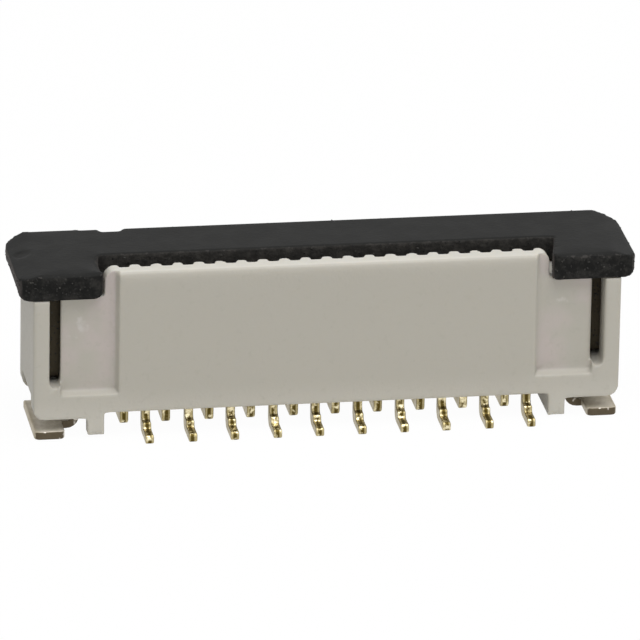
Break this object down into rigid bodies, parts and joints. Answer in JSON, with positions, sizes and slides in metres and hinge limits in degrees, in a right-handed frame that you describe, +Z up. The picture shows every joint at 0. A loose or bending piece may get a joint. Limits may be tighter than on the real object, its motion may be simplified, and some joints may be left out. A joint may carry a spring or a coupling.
{
  "type": "fpc connector",
  "caption": "Upright surface-mount connector for a flat flexible cable, with staggered solder feet, bent solder tabs and a dark slider that pushes down to lock the cable.",
  "frame": {"origin": "centre of the footprint on the board: the middle of the overall box at the level of the solder feet", "axes": "+Z up from the board and out of the cable's mouth, -Y towards the front wall beside the mouth, +X from the first contact towards the last"},
  "size_m": [0.0146, 0.0036, 0.0041],
  "materials": {
    "housing_plastic": "glass-filled nylon, natural, as moulded",
    "slider_plastic": "glass-filled black plastic, as moulded, with a grainy skin",
    "contact_gold": "thin gold plating over stamped phosphor bronze",
    "tab_metal": "matte tin plating over stamped brass sheet"
  },
  "bodies": {
    "base": {"housing": "housing_plastic", "solder_tab_left": "tab_metal", "solder_tab_right": "tab_metal", "contact_01": "contact_gold", "contact_02": "contact_gold", "contact_03": "contact_gold", "contact_04": "contact_gold", "contact_05": "contact_gold", "contact_06": "contact_gold", "contact_07": "contact_gold", "contact_08": "contact_gold", "contact_09": "contact_gold", "contact_10": "contact_gold", "contact_11": "contact_gold", "contact_12": "contact_gold", "contact_13": "contact_gold", "contact_14": "contact_gold", "contact_15": "contact_gold", "contact_16": "contact_gold", "contact_17": "contact_gold", "contact_18": "contact_gold", "contact_19": "contact_gold", "contact_20": "contact_gold"},
    "slider": {"slider": "slider_plastic"}
  },
  "joints": [
    {"name": "slider_slide", "type": "slide", "parent": "base", "child": "slider", "axis": [0, 0, 1], "range_m": [0, 0.001]}
  ]
}
